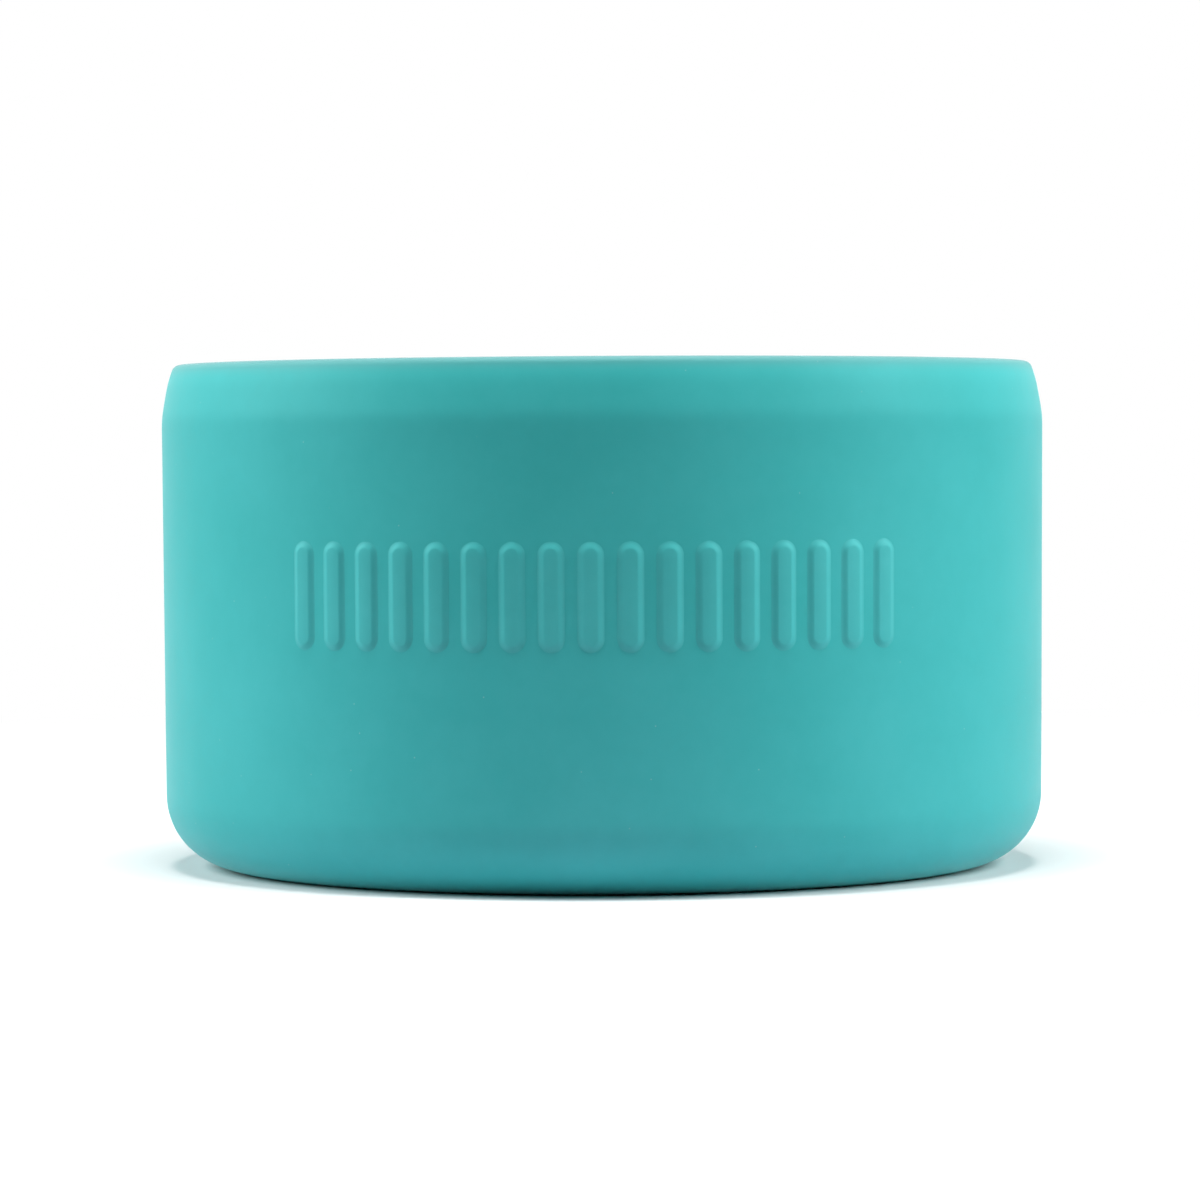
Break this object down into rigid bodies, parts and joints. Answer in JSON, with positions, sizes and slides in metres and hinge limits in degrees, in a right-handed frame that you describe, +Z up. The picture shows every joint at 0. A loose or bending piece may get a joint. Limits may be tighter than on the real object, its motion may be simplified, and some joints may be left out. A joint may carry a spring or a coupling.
{
  "type": "bottle boot",
  "caption": "Soft silicone boot that stretches onto the base of an insulated drinking bottle and guards it from knocks and scratches.",
  "frame": {"origin": "on the surface the boot stands on, under the middle of the bore", "axes": "+Z up out of the open mouth, -Y towards the front with the grip ribs, +X to the right seen from the front"},
  "size_m": [0.096, 0.0962, 0.0545],
  "materials": {
    "silicone": "matte moulded silicone rubber, turquoise"
  },
  "bodies": {
    "root": {"boot": "silicone", "grip_ribs": "silicone", "floor_rings": "silicone", "tread_pads": "silicone"}
  },
  "joints": []
}
